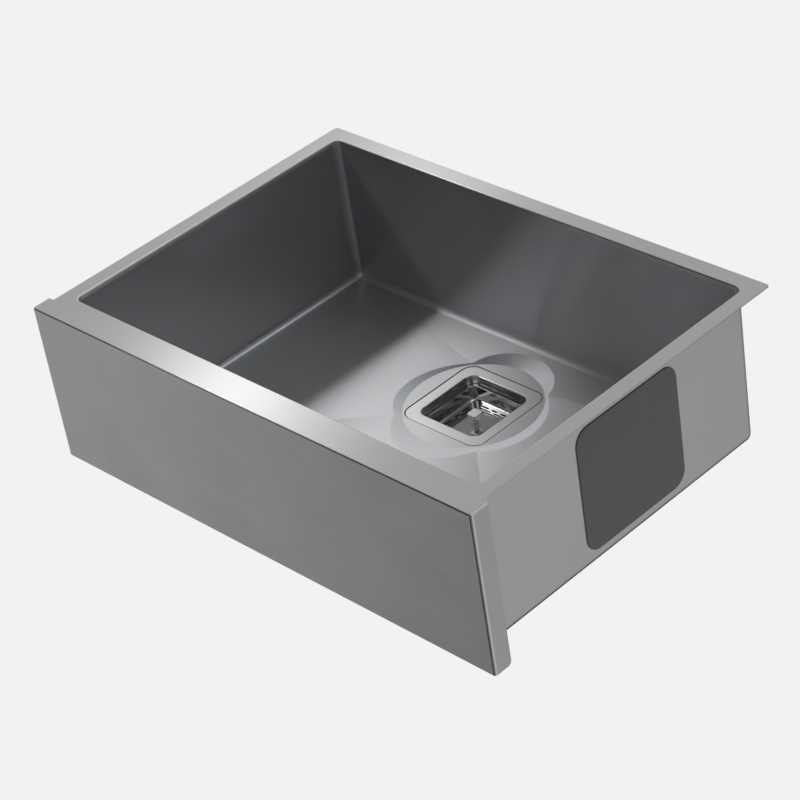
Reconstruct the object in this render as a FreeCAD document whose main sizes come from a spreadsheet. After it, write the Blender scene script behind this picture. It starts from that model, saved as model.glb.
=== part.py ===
"""Farmhouse apron-front kitchen sink with a square basket strainer.

Frame: millimetres, +Z up, +X to the right seen from the front, +Y from the apron to the rear rim.
Origin: middle of the top face of the deck strip between the apron and the bowl.
"""
import FreeCAD, Part
import os
import Sketcher

# Driving dimensions, in millimetres.
SIZES = {
    # folded bowl
    "bowl_width": 697.0,          # inside, left to right
    "bowl_length": 465.0,         # inside, front to rear
    "bowl_depth": 219.0,          # deck top to the floor beside the walls
    "sheet": 1.2,                 # thickness of the steel of bowl, deck and apron
    "corner_radius": 10.5,        # inside, vertical corners
    "floor_radius": 9.5,          # inside, floor to wall
    "floor_fall": 4.0,            # slope of the four floor facets, wall to drain
    "facet_land": 2.0,            # flat strip between the floor bend and the facets
    "facet_end": 140.0,           # side of the square that the four facets run down to
    "dish_flat_radius": 93.0,     # pressed dish round the drain
    "dish_fall": 0.4,
    "dish_rear_margin": 3.0,      # rim of the dish to the rear edge of the facets
    "dish_front_reach": 200.0,    # drain axis to the front of the dish's rim
    "drain_to_rear": 138.0,       # drain axis to the rear wall
    # deck and apron
    "deck_front": 44.5,           # apron face to the bowl
    "rim_side": 23.0,
    "rim_rear": 24.0,
    "rim_corner": 5.0,
    "lip_depth": 6.0,             # deck turned down into the bowl
    "edge_radius": 2.0,           # outside bend of the deck's edges
    "bend_fill": 0.8,             # inside bend of the deck's edges
    "apron_overhang": 9.5,        # apron beyond the side rims
    "apron_height": 228.6,
    "apron_return": 27.0,
    "apron_bend": 3.5,
    "apron_hem": 15.0,
    "hem_relief": 6.0,            # gap between the hem and each return
    "return_corner": 6.0,
    "step_corner": 2.5,
    # braces between the apron and the bowl
    "brace_spacing": 460.0,
    "brace_width": 40.0,
    "brace_tab": 24.0,
    "brace_sheet": 1.5,
    "brace_rise": 35.0,           # web above the lower edge
    # sound pads
    "pad_thickness": 2.0,
    "pad_edge": 0.6,
    "side_pad_length": 178.0,
    "side_pad_height": 175.0,
    "side_pad_corner": 22.0,
    "side_pad_top": 26.0,         # below the deck
    "side_pad_to_rear": 132.0,    # rear edge of the pad to the rear wall
    "rear_pad_width": 400.0,
    "front_pad_width": 300.0,
    "front_pad_height": 120.0,
    "floor_pad_width": 130.0,
    "floor_pad_length": 160.0,
    "floor_pad_gap": 70.0,        # from the facets' lower edge
    "floor_pad_corner": 12.0,
    "nose_pad_width": 280.0,
    "nose_pad_length": 110.0,
    "nose_pad_gap": 20.0,
    # square strainer let into the floor
    "flange_width": 135.5,
    "flange_corner": 17.0,
    "flange_sheet": 1.5,
    "flange_edge": 0.6,
    "flange_gap": 1.5,            # round the flange in its seat
    "flange_sunk": 0.2,           # flange top below the dish
    "mouth_width": 103.0,
    "mouth_corner": 13.0,
    "mouth_edge": 1.8,
    "ledge_depth": 13.2,
    "well_width": 95.6,
    "well_corner": 10.5,
    "well_depth": 47.0,
    "well_sheet": 1.0,
    "well_bend": 4.0,
    "hub_radius": 11.0,
    "hub_floor_radius": 8.0,
    "hub_dip": 3.5,
    "waterway_radius": 4.5,
    "waterway_circle": 18.5,
    "waterway_count": 8,
    "drain_hole": 108.0,
    "drain_hole_corner": 15.0,
    # seals
    "flange_gasket_thickness": 1.0,
    "cup_gasket_thickness": 3.0,
    "gasket_land": 10.0,
    # lower cup and outlet
    "cup_width": 109.0,           # inside
    "cup_corner": 16.0,
    "cup_wall": 4.0,
    "cup_rim_width": 128.0,
    "cup_rim": 5.0,
    "cup_floor": 50.0,            # below the flange
    "cup_edge": 1.5,
    "funnel_radius": 47.0,
    "funnel_height": 16.0,
    "outlet_radius": 23.9,
    "outlet_bore": 19.0,
    "outlet_length": 28.0,
    "cup_hub_radius": 8.0,
    "cup_hub_height": 16.0,
    "cup_rib": 3.0,
    "cup_rib_height": 10.0,
    # clamping screw and its insert
    "screw_radius": 3.0,
    "screw_head_radius": 6.0,
    "screw_head": 2.5,
    "screw_socket": 4.0,
    "screw_socket_depth": 1.5,
    "screw_length": 21.0,
    "screw_clearance": 0.3,
    "thread_clearance": 0.05,
    "insert_radius": 5.0,
    "insert_length": 9.0,
    # basket
    "basket_rim_width": 101.4,
    "basket_rim_corner": 12.0,
    "basket_rim": 1.0,
    "basket_width": 93.0,         # outside, under the rim
    "basket_corner": 10.0,
    "basket_taper": 2.5,          # each side, rim to floor
    "basket_height": 18.6,        # rim top to the inside of the floor
    "basket_sheet": 0.8,
    "basket_bend": 3.0,
    "basket_edge": 0.4,
    "basket_seat_gap": 0.3,       # basket rim above the ledge
    "plate_width": 52.0,          # raised square in the basket's floor
    "plate_rise": 0.6,
    "plate_corner": 2.0,
    "slot_width": 3.0,
    "slot_row": 34.6,             # from the axis
    "slot_length": 14.0,
    "slot_pitch": 17.0,
    "short_slot_length": 10.0,
    "inner_slot_width": 2.6,
    "inner_slot_row": 30.0,
    "inner_slot_length": 20.0,
    "inner_slot_pitch": 25.0,
    # pull knob, stem and stopper
    "bush_radius": 5.0,
    "bush_flange_radius": 6.5,
    "bush_flange": 0.8,
    "fit_clearance": 0.05,
    "stem_radius": 3.0,
    "stem_end_radius": 2.5,
    "stem_end": 1.0,
    "knob_width": 15.8,
    "knob_height": 6.0,
    "knob_corner": 3.0,
    "knob_edge": 0.8,
    "knob_neck_radius": 4.0,
    "knob_neck": 2.4,
    "knob_bore": 5.0,
    "spigot_gap": 0.3,
    "stopper_travel": 8.0,
    "stopper_clearance": 0.3,     # closed stopper above the well's floor
    "knob_clearance": 1.1,        # closed knob above the bush
    "collar_gap": 0.6,            # open stopper below the bush
    "collar_radius": 5.0,
    "collar": 0.8,
    "backing_radius": 24.0,
    "backing": 0.8,
    "seal_radius": 31.0,
    "seal_web": 2.0,
    "seal_lip": 5.0,
    "seal_edge": 0.6,
    "retainer_radius": 7.0,
    "retainer": 0.6,
}

TOLERANCE = 1e-4                  # for telling levels and planes apart
BEND_LIMIT = 0.95                 # floor bend, at most this share of the upright corner's radius
ROUND_END = 0.49                  # corner radius of a slot, as a share of its width
BASKET_SIDES = 4

# Derived lengths, written as expressions of the sheet's cells.
HALF_BOWL = "Sizes.bowl_width / 2"
BOWL_FRONT = "Sizes.deck_front / 2"
BOWL_REAR = "(Sizes.deck_front / 2 + Sizes.bowl_length)"
BOWL_MIDDLE = "(Sizes.deck_front / 2 + Sizes.bowl_length / 2)"
FLOOR_BEND = f"min(Sizes.floor_radius; Sizes.corner_radius * {BEND_LIMIT})"
FACET_INSET = f"({FLOOR_BEND} + Sizes.facet_land)"
HALF_RIM = "(Sizes.bowl_width / 2 + Sizes.rim_side)"
HALF_APRON = "(Sizes.bowl_width / 2 + Sizes.rim_side + Sizes.apron_overhang)"
APRON_FACE = "(-Sizes.deck_front / 2)"
RIM_REAR = "(Sizes.deck_front / 2 + Sizes.bowl_length + Sizes.rim_rear)"
DRAIN_Y = "(Sizes.deck_front / 2 + Sizes.bowl_length - Sizes.drain_to_rear)"
FACET_RUN = f"(Sizes.bowl_width / 2 - {FACET_INSET} - Sizes.facet_end / 2)"
DISH_FLOOR = "(Sizes.bowl_depth + Sizes.floor_fall + Sizes.dish_fall)"
DISH_REAR_REACH = f"(Sizes.drain_to_rear - {FACET_INSET} - Sizes.dish_rear_margin)"
SEAT_DEPTH = "(Sizes.flange_sheet + Sizes.flange_gasket_thickness + Sizes.flange_sunk)"
SEAT_WIDTH = "(Sizes.flange_width + 2 * Sizes.flange_gap)"
SEAT_CORNER = "(Sizes.flange_corner + Sizes.flange_gap)"
FLANGE_Z = f"(-{DISH_FLOOR} - Sizes.flange_sunk)"
LOWER_EDGE = "min(Sizes.apron_height; Sizes.bowl_depth)"

# Levels of the strainer, measured down from the top of its flange.
CUP_GASKET_TOP = "(Sizes.flange_sheet + Sizes.flange_gasket_thickness + Sizes.sheet)"
CUP_TOP = f"({CUP_GASKET_TOP} + Sizes.cup_gasket_thickness)"
HUB_FLOOR = "(Sizes.well_depth + Sizes.hub_dip)"
CUP_HUB_TOP = "(Sizes.cup_floor + Sizes.cup_wall)"
FUNNEL_END = f"({CUP_HUB_TOP} + Sizes.funnel_height)"
CUP_END = f"({FUNNEL_END} + Sizes.outlet_length)"
INSERT_TOP = f"({CUP_HUB_TOP} + Sizes.cup_hub_height - Sizes.insert_length)"
RIM_TOP = "(Sizes.ledge_depth - Sizes.basket_seat_gap - Sizes.basket_rim)"
BASKET_FLOOR = f"({RIM_TOP} + Sizes.basket_height)"
BASKET_UNDER = f"({BASKET_FLOOR} + Sizes.basket_sheet)"
PLATE_TOP = f"({BASKET_FLOOR} - Sizes.plate_rise)"
BUSH_TOP = f"({PLATE_TOP} - Sizes.bush_flange)"
BUSH_END = f"({BASKET_UNDER} + Sizes.bush_flange)"
KNOB_BASE = f"({BUSH_TOP} - Sizes.stopper_travel - Sizes.knob_clearance)"
KNOB_TOP = f"({KNOB_BASE} - Sizes.knob_neck - Sizes.knob_height)"
COLLAR_TOP = f"({BUSH_END} + Sizes.collar_gap)"
BACKING_TOP = f"({COLLAR_TOP} + Sizes.collar)"
SEAL_TOP = f"({BACKING_TOP} + Sizes.backing)"
SEAL_WEB_END = f"({SEAL_TOP} + Sizes.seal_web)"
SEAL_END = "(Sizes.well_depth - Sizes.stopper_clearance - Sizes.stopper_travel)"
STEM_END = f"({SEAL_WEB_END} + Sizes.retainer + Sizes.stem_end)"

doc = FreeCAD.newDocument("apron_sink")


def fill_sheet():
    """Write every driving dimension into its own named cell."""
    sheet = doc.addObject("Spreadsheet::Sheet", "Sizes")
    for row, (name, value) in enumerate(SIZES.items(), start=1):
        sheet.set(f"A{row}", name)
        sheet.set(f"B{row}", str(value))
        sheet.setAlias(f"B{row}", name)
    doc.recompute()
    return sheet


sheet = fill_sheet()


# ---- sketches -----------------------------------------------------------------------------------

def new_body(label, y="0", z="0"):
    """A body whose own frame stands at (0, y, z)."""
    body = doc.addObject("PartDesign::Body", label)
    body.Label = label
    body.setExpression("Placement.Base.y", y)
    body.setExpression("Placement.Base.z", z)
    return body


def new_sketch(body, name, plane="XY_Plane", level="0"):
    """A sketch on one of the body's origin planes, moved along the plane's normal to level."""
    sketch = body.newObject("Sketcher::SketchObject", f"{body.Name}_{name}")
    support = [item for item in body.Origin.OriginFeatures if item.Role == plane][0]
    sketch.AttachmentSupport = [(support, "")]
    sketch.MapMode = "FlatFace"
    sketch.setExpression("AttachmentOffset.Base.z", level)
    return sketch


def fix_point(sketch, geometry, end, x, y):
    """Dimension one sketch point from the sketch's origin, in both directions."""
    for kind, expression in (("DistanceX", x), ("DistanceY", y)):
        value = sketch.evalExpression(expression)
        index = sketch.addConstraint(Sketcher.Constraint(kind, -1, 1, geometry, end, value))
        sketch.setExpression(f"Constraints[{index}]", expression)


def draw_polygon(sketch, points):
    """A closed outline of straight lines through points given as pairs of expressions."""
    places = [FreeCAD.Vector(sketch.evalExpression(x), sketch.evalExpression(y), 0) for x, y in points]
    first = len(sketch.Geometry)
    count = len(points)
    for number in range(count):
        sketch.addGeometry(Part.LineSegment(places[number], places[(number + 1) % count]))
    for number in range(count):
        following = first + (number + 1) % count
        sketch.addConstraint(Sketcher.Constraint("Coincident", first + number, 2, following, 1))
    for number, (x, y) in enumerate(points):
        fix_point(sketch, first + number, 1, x, y)


def draw_box(sketch, x_low, y_low, x_high, y_high):
    """A rectangle between two corners."""
    draw_polygon(sketch, [(x_low, y_low), (x_high, y_low), (x_high, y_high), (x_low, y_high)])


def draw_circle(sketch, radius, x="0", y="0"):
    centre = FreeCAD.Vector(sketch.evalExpression(x), sketch.evalExpression(y), 0)
    value = sketch.evalExpression(radius)
    circle = sketch.addGeometry(Part.Circle(centre, FreeCAD.Vector(0, 0, 1), value))
    index = sketch.addConstraint(Sketcher.Constraint("Radius", circle, value))
    sketch.setExpression(f"Constraints[{index}]", radius)
    fix_point(sketch, circle, 3, x, y)


def draw_rounded_box(sketch, width, length, radius, x="0", y="0"):
    """A rectangle about (x, y) with four equal round corners."""
    centre_x = sketch.evalExpression(x)
    centre_y = sketch.evalExpression(y)
    value = sketch.evalExpression(radius)
    reach_x = sketch.evalExpression(width) / 2 - value
    reach_y = sketch.evalExpression(length) / 2 - value
    quarters = [(1, -1, -90), (1, 1, 0), (-1, 1, 90), (-1, -1, 180)]
    arcs = []
    for sign_x, sign_y, start in quarters:
        centre = FreeCAD.Vector(centre_x + sign_x * reach_x, centre_y + sign_y * reach_y, 0)
        circle = Part.Circle(centre, FreeCAD.Vector(0, 0, 1), value)
        start_angle = FreeCAD.Units.Quantity(f"{start} deg").getValueAs("rad").Value
        end_angle = FreeCAD.Units.Quantity(f"{start + 90} deg").getValueAs("rad").Value
        arcs.append(sketch.addGeometry(Part.ArcOfCircle(circle, start_angle, end_angle)))
    for number, arc in enumerate(arcs):
        following = arcs[(number + 1) % 4]
        start = sketch.getPoint(arc, 2)
        end = sketch.getPoint(following, 1)
        line = sketch.addGeometry(Part.LineSegment(start, end))
        direction = "Vertical" if number % 2 == 0 else "Horizontal"
        sketch.addConstraint(Sketcher.Constraint("Tangent", arc, 2, line, 1))
        sketch.addConstraint(Sketcher.Constraint("Tangent", line, 2, following, 1))
        sketch.addConstraint(Sketcher.Constraint(direction, line))
    for arc in arcs[1:]:
        sketch.addConstraint(Sketcher.Constraint("Equal", arcs[0], arc))
    index = sketch.addConstraint(Sketcher.Constraint("Radius", arcs[0], value))
    sketch.setExpression(f"Constraints[{index}]", radius)
    for arc, side in ((arcs[1], 1), (arcs[3], -1)):
        fix_point(sketch, arc, 3, f"{x} + {side} * (({width}) / 2 - ({radius}))",
                  f"{y} + {side} * (({length}) / 2 - ({radius}))")


# ---- features -----------------------------------------------------------------------------------

def add_feature(body, kind, name):
    return body.newObject(f"PartDesign::{kind}", f"{body.Name}_{name}")


def extrude(body, kind, sketch, length, flip=False):
    """Pad or pocket a sketch. Pads rise along the sketch's normal, pockets sink against it."""
    feature = add_feature(body, kind, f"{kind.lower()}_{sketch.Name.split('_')[-1]}")
    feature.Profile = sketch
    feature.setExpression("Length", length)
    feature.Reversed = flip
    sketch.Visibility = False
    doc.recompute()
    return feature


def turn(body, kind, sketch):
    """A full revolution or groove about the sketch's vertical axis."""
    feature = add_feature(body, kind, f"{kind.lower()}_{sketch.Name.split('_')[-1]}")
    feature.Profile = sketch
    feature.ReferenceAxis = (sketch, ["V_Axis"])
    feature.Angle = 360
    doc.recompute()
    return feature


def loft(body, kind, lower, upper):
    """A ruled loft between two sketches."""
    feature = add_feature(body, kind, f"{kind.lower()}_{lower.Name.split('_')[-1]}")
    feature.Profile = lower
    feature.Sections = [upper]
    feature.Ruled = True
    doc.recompute()
    return feature


def fillet(body, name, radius, chosen):
    """Round every edge of the body's last feature that chosen accepts."""
    base = body.Tip
    edges = [f"Edge{number}" for number, edge in enumerate(base.Shape.Edges, start=1) if chosen(edge)]
    if not edges:
        raise RuntimeError(f"{body.Label}: no edge to round for {name}")
    feature = add_feature(body, "Fillet", name)
    feature.Base = (base, edges)
    feature.setExpression("Radius", radius)
    doc.recompute()
    return feature


def mirror(body, originals, plane="YZ_Plane"):
    """Repeat features on the other side of one of the body's origin planes."""
    feature = add_feature(body, "Mirrored", "mirrored")
    feature.Originals = originals
    support = [item for item in body.Origin.OriginFeatures if item.Role == plane][0]
    feature.MirrorPlane = (support, [""])
    body.Tip = feature
    doc.recompute()
    return feature


def repeat_round(body, original, count, name):
    """Repeat a feature round the body's vertical axis."""
    feature = add_feature(body, "PolarPattern", name)
    feature.Originals = [original]
    axis = [item for item in body.Origin.OriginFeatures if item.Role == "Z_Axis"][0]
    feature.Axis = (axis, [""])
    feature.Angle = 360
    feature.Occurrences = count
    body.Tip = feature
    doc.recompute()
    return feature


def cut(label, base, tool):
    """A sub-part that is one solid less another."""
    result = doc.addObject("Part::Cut", label)
    result.Label = label
    result.Base = base
    result.Tool = tool
    doc.recompute()
    return result


def spans(edge, low_x, high_x, low_y, high_y, low_z, high_z):
    """True when the edge lies inside a box."""
    box = edge.BoundBox
    return (box.XMin >= low_x - TOLERANCE and box.XMax <= high_x + TOLERANCE
            and box.YMin >= low_y - TOLERANCE and box.YMax <= high_y + TOLERANCE
            and box.ZMin >= low_z - TOLERANCE and box.ZMax <= high_z + TOLERANCE)


def in_plane(edge, axis, place):
    """True for an edge all of whose points have the same place along the axis X, Y or Z."""
    box = edge.BoundBox
    low = getattr(box, f"{axis}Min")
    high = getattr(box, f"{axis}Max")
    return abs(low - place) < TOLERANCE and abs(high - place) < TOLERANCE


def at_level(edge, level, inside=None, outside=None):
    """True for an edge in the horizontal plane at level, near or away from the vertical axis."""
    box = edge.BoundBox
    if not in_plane(edge, "Z", level):
        return False
    reach = max(abs(box.XMin), abs(box.XMax), abs(box.YMin), abs(box.YMax))
    if inside is not None and reach > inside + TOLERANCE:
        return False
    return outside is None or reach > outside + TOLERANCE


def upright(edge):
    """True for a straight vertical edge."""
    box = edge.BoundBox
    return box.XLength < TOLERANCE and box.YLength < TOLERANCE and box.ZLength > TOLERANCE


def size(expression):
    """The present value of an expression of the sheet's cells."""
    return float(sheet.evalExpression(expression))


# ---- bowl ---------------------------------------------------------------------------------------

def make_layer(label, grow, drop):
    """The solid under one surface of the bowl: its box, creased floor, dish and flange seat.

    grow widens the plan and drop lowers the floor, so that two layers leave a sheet between them.
    """
    body = new_body(label)
    plan = new_sketch(body, "plan", level="-Sizes.lip_depth")
    draw_rounded_box(plan, f"Sizes.bowl_width + 2 * {grow}", f"Sizes.bowl_length + 2 * {grow}",
                     f"Sizes.corner_radius + {grow}", y=BOWL_MIDDLE)
    extrude(body, "Pad", plan, f"Sizes.bowl_depth + {drop} - Sizes.lip_depth", flip=True)
    level = -size(f"Sizes.bowl_depth + {drop}")
    fillet(body, "bend", f"{FLOOR_BEND} + {grow}", lambda edge: at_level(edge, level))

    facet_top = new_sketch(body, "facettop", level=f"-Sizes.bowl_depth - {drop}")
    draw_box(facet_top, f"-({HALF_BOWL} - {FACET_INSET})", f"{BOWL_FRONT} + {FACET_INSET}",
             f"{HALF_BOWL} - {FACET_INSET}", f"{BOWL_REAR} - {FACET_INSET}")
    facet_end = new_sketch(body, "facetend", level=f"-Sizes.bowl_depth - Sizes.floor_fall - {drop}")
    draw_box(facet_end, "-Sizes.facet_end / 2", f"{DRAIN_Y} - Sizes.facet_end / 2",
             "Sizes.facet_end / 2", f"{DRAIN_Y} + Sizes.facet_end / 2")
    loft(body, "AdditiveLoft", facet_top, facet_end)

    dish_rim = new_sketch(body, "dishrim", level=f"-Sizes.bowl_depth - {drop}")
    draw_circle(dish_rim, f"({DISH_REAR_REACH} + Sizes.dish_front_reach) / 2",
                y=f"{DRAIN_Y} + ({DISH_REAR_REACH} - Sizes.dish_front_reach) / 2")
    dish_flat = new_sketch(body, "dishflat", level=f"-{DISH_FLOOR} - {drop}")
    draw_circle(dish_flat, "Sizes.dish_flat_radius", y=DRAIN_Y)
    loft(body, "AdditiveLoft", dish_rim, dish_flat)

    seat = new_sketch(body, "seat", level=f"-{DISH_FLOOR}")
    draw_rounded_box(seat, f"{SEAT_WIDTH} + 2 * {grow}", f"{SEAT_WIDTH} + 2 * {grow}",
                     f"{SEAT_CORNER} + {grow}", y=DRAIN_Y)
    extrude(body, "Pad", seat, f"{SEAT_DEPTH} + {drop}", flip=True)
    return body


def make_sink_bowl():
    """Folded tub: four walls, a floor of four facets, a round dish and the strainer's seat."""
    outside = make_layer("bowl_outside", "Sizes.sheet", "Sizes.sheet")
    inside = make_layer("bowl_inside", "0", "0")
    hole = new_sketch(inside, "hole", level=f"-{DISH_FLOOR}")
    draw_rounded_box(hole, "Sizes.drain_hole", "Sizes.drain_hole", "Sizes.drain_hole_corner", y=DRAIN_Y)
    extrude(inside, "Pad", hole, f"{SEAT_DEPTH} + 2 * Sizes.sheet", flip=True)
    return cut("sink_bowl", outside, inside)


# ---- deck and apron -----------------------------------------------------------------------------

def make_deck_apron():
    """One folded sheet: rim on three sides, front strip, lip into the bowl, apron, returns and hem."""
    body = new_body("deck_apron")
    return_end = f"{APRON_FACE} + Sizes.apron_return"
    outline = new_sketch(body, "outline")
    draw_polygon(outline, [
        (f"-{HALF_APRON}", APRON_FACE), (HALF_APRON, APRON_FACE),
        (HALF_APRON, return_end), (HALF_RIM, return_end),
        (HALF_RIM, RIM_REAR), (f"-{HALF_RIM}", RIM_REAR),
        (f"-{HALF_RIM}", return_end), (f"-{HALF_APRON}", return_end),
    ])
    extrude(body, "Pad", outline, "Sizes.sheet", flip=True)

    face = new_sketch(body, "face")
    inner = f"({HALF_APRON} - Sizes.sheet)"
    draw_polygon(face, [
        (f"-{HALF_APRON}", APRON_FACE), (HALF_APRON, APRON_FACE),
        (HALF_APRON, return_end), (inner, return_end),
        (inner, f"{APRON_FACE} + Sizes.sheet"), (f"-{inner}", f"{APRON_FACE} + Sizes.sheet"),
        (f"-{inner}", return_end), (f"-{HALF_APRON}", return_end),
    ])
    extrude(body, "Pad", face, "Sizes.apron_height", flip=True)

    lip = new_sketch(body, "lip")
    draw_rounded_box(lip, "Sizes.bowl_width + 2 * Sizes.sheet", "Sizes.bowl_length + 2 * Sizes.sheet",
                     "Sizes.corner_radius + Sizes.sheet", y=BOWL_MIDDLE)
    extrude(body, "Pad", lip, "Sizes.lip_depth", flip=True)
    opening = new_sketch(body, "opening")
    draw_rounded_box(opening, "Sizes.bowl_width", "Sizes.bowl_length", "Sizes.corner_radius",
                     y=BOWL_MIDDLE)
    extrude(body, "Pocket", opening, "Sizes.lip_depth")

    hem = new_sketch(body, "hem", level="-Sizes.apron_height")
    hem_end = f"({inner} - Sizes.hem_relief)"
    draw_box(hem, f"-{hem_end}", APRON_FACE, hem_end, f"{APRON_FACE} + Sizes.apron_hem")
    extrude(body, "Pad", hem, "Sizes.sheet")

    half_apron = size(HALF_APRON)
    half_rim = size(HALF_RIM)
    front = size(APRON_FACE)
    rear = size(RIM_REAR)
    step = size(return_end)
    bottom = -size("Sizes.apron_height")
    sheet_level = -size("Sizes.sheet")
    reach = size(HALF_BOWL)

    fillet(body, "apronbend", "Sizes.apron_bend",
           lambda edge: upright(edge) and spans(edge, -half_apron, half_apron, front, front, bottom, 0)
           and abs(abs(edge.BoundBox.XMin) - half_apron) < TOLERANCE)
    fillet(body, "rimcorner", "Sizes.rim_corner",
           lambda edge: upright(edge) and spans(edge, -half_rim, half_rim, rear, rear, bottom, 0))
    fillet(body, "returncorner", "Sizes.return_corner",
           lambda edge: spans(edge, -half_apron, half_apron, step, step, bottom, bottom))
    fillet(body, "stepcorner", "Sizes.step_corner",
           lambda edge: upright(edge) and spans(edge, -half_rim, half_rim, step, step, sheet_level, 0))
    fillet(body, "deckbend", "Sizes.edge_radius",
           lambda edge: at_level(edge, 0) and (edge.BoundBox.YMax < front + 2 * TOLERANCE
                                               or is_opening(edge, reach)))
    fillet(body, "lipbend", "Sizes.bend_fill",
           lambda edge: at_level(edge, sheet_level) and is_opening(edge, reach + size("Sizes.sheet")))
    return body


def is_opening(edge, half_width):
    """True for an edge of the outline round the bowl whose half width is given."""
    box = edge.BoundBox
    margin = half_width - size(HALF_BOWL) + TOLERANCE
    return (box.XMin >= -half_width - TOLERANCE and box.XMax <= half_width + TOLERANCE
            and box.YMin >= size(BOWL_FRONT) - margin and box.YMax <= size(BOWL_REAR) + margin)


def make_apron_braces():
    """Two folded straps that hold the apron's lower half off the bowl's front wall."""
    body = new_body("apron_braces")
    strap = new_sketch(body, "strap", plane="YZ_Plane",
                       level="Sizes.brace_spacing / 2 - Sizes.brace_width / 2")
    front = f"({APRON_FACE} + Sizes.sheet)"
    rear = f"({BOWL_FRONT} - Sizes.sheet)"
    top = f"(Sizes.brace_rise - {LOWER_EDGE})"
    end = f"({top} - Sizes.brace_tab)"
    web = f"({top} - Sizes.brace_sheet)"
    draw_polygon(strap, [
        (front, end), (f"{front} + Sizes.brace_sheet", end), (f"{front} + Sizes.brace_sheet", web),
        (f"{rear} - Sizes.brace_sheet", web), (f"{rear} - Sizes.brace_sheet", end), (rear, end),
        (rear, top), (front, top),
    ])
    pad = extrude(body, "Pad", strap, "Sizes.brace_width")
    mirror(body, [pad])
    return body


# ---- sound pads ---------------------------------------------------------------------------------

def make_wall_pad(label, plane, level, width, height, middle, outward):
    """A rubber pad glued to the outside of one wall of the bowl."""
    body = new_body(label)
    outline = new_sketch(body, "outline", plane=plane, level=level)
    draw_rounded_box(outline, width, height, "Sizes.side_pad_corner", x=middle,
                     y=f"-(Sizes.side_pad_top + {height} / 2)")
    extrude(body, "Pad", outline, "Sizes.pad_thickness", flip=not outward)
    axis, sign = ("X", 1) if plane == "YZ_Plane" else ("Y", -1)
    face = sign * (size(level) + (1 if outward else -1) * size("Sizes.pad_thickness"))
    fillet(body, "edge", "Sizes.pad_edge", lambda edge: in_plane(edge, axis, face))
    return body


def make_wall_pads():
    """Pads on all four walls."""
    middle = f"({BOWL_REAR} - Sizes.side_pad_to_rear - Sizes.side_pad_length / 2)"
    outer_side = f"({HALF_BOWL} + Sizes.sheet)"
    length = "Sizes.side_pad_length"
    height = "Sizes.side_pad_height"
    return [
        make_wall_pad("sound_pad_right", "YZ_Plane", outer_side, length, height, middle, True),
        make_wall_pad("sound_pad_left", "YZ_Plane", f"-{outer_side}", length, height, middle, False),
        make_wall_pad("sound_pad_rear", "XZ_Plane", f"-({BOWL_REAR} + Sizes.sheet)",
                      "Sizes.rear_pad_width", height, "0", False),
        make_wall_pad("sound_pad_front", "XZ_Plane", f"-({BOWL_FRONT} - Sizes.sheet)",
                      "Sizes.front_pad_width", "Sizes.front_pad_height", "0", True),
    ]


def tilt_sketch(sketch, axis, angle, x, y, level):
    """Move a sketch to (x, y, level) and lean it by an angle about one of its own axes."""
    sketch.AttachmentOffset = FreeCAD.Placement(FreeCAD.Vector(), FreeCAD.Rotation(axis, 1))
    sketch.setExpression("AttachmentOffset.Rotation.Angle", angle)
    sketch.setExpression("AttachmentOffset.Base.x", x)
    sketch.setExpression("AttachmentOffset.Base.y", y)
    sketch.setExpression("AttachmentOffset.Base.z", level)


def make_floor_pads():
    """Pads under the left and right facets of the floor, and one under the front facet."""
    under = "(Sizes.bowl_depth + Sizes.sheet)"
    sides = new_body("sound_pads_floor")
    side = new_sketch(sides, "side")
    run = "(Sizes.floor_pad_gap + Sizes.floor_pad_width / 2)"
    tilt_sketch(side, FreeCAD.Vector(0, 1, 0), f"-atan(Sizes.floor_fall / {FACET_RUN})",
                f"Sizes.facet_end / 2 + {run}", DRAIN_Y,
                f"-{under} - Sizes.floor_fall * (1 - {run} / {FACET_RUN})")
    draw_rounded_box(side, "Sizes.floor_pad_width", "Sizes.floor_pad_length", "Sizes.floor_pad_corner")
    pad = extrude(sides, "Pad", side, "Sizes.pad_thickness", flip=True)
    mirror(sides, [pad])

    nose = new_body("sound_pad_floor_front")
    outline = new_sketch(nose, "outline")
    front_run = f"({DRAIN_Y} - Sizes.facet_end / 2 - {BOWL_FRONT} - {FACET_INSET})"
    run = "(Sizes.nose_pad_gap + Sizes.nose_pad_length / 2)"
    tilt_sketch(outline, FreeCAD.Vector(1, 0, 0), f"-atan(Sizes.floor_fall / {front_run})",
                "0", f"{BOWL_FRONT} + {FACET_INSET} + {run}",
                f"-{under} - Sizes.floor_fall * {run} / {front_run}")
    draw_rounded_box(outline, "Sizes.nose_pad_width", "Sizes.nose_pad_length", "Sizes.floor_pad_corner")
    extrude(nose, "Pad", outline, "Sizes.pad_thickness", flip=True)
    return [sides, nose]


# ---- strainer -----------------------------------------------------------------------------------

def drain_body(label):
    """A body that stands on the drain's axis, level with the top of the strainer's flange."""
    return new_body(label, y=DRAIN_Y, z=FLANGE_Z)


def square_sketch(body, name, width, corner, depth="0"):
    """A square with round corners, depth below the flange."""
    sketch = new_sketch(body, name, level=f"-{depth}")
    draw_rounded_box(sketch, width, width, corner)
    return sketch


def make_square_ring(label, depth, thickness, outer, outer_corner, inner, inner_corner):
    """A flat square ring, such as a gasket."""
    body = drain_body(label)
    outline = square_sketch(body, "outline", outer, outer_corner, depth)
    draw_rounded_box(outline, inner, inner, inner_corner)
    extrude(body, "Pad", outline, thickness, flip=True)
    return body


def make_round_ring(label, depth, thickness, outer, inner):
    """A flat round ring, such as a washer."""
    body = drain_body(label)
    outline = new_sketch(body, "outline", level=f"-{depth}")
    draw_circle(outline, outer)
    draw_circle(outline, inner)
    extrude(body, "Pad", outline, thickness, flip=True)
    return body


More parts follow.
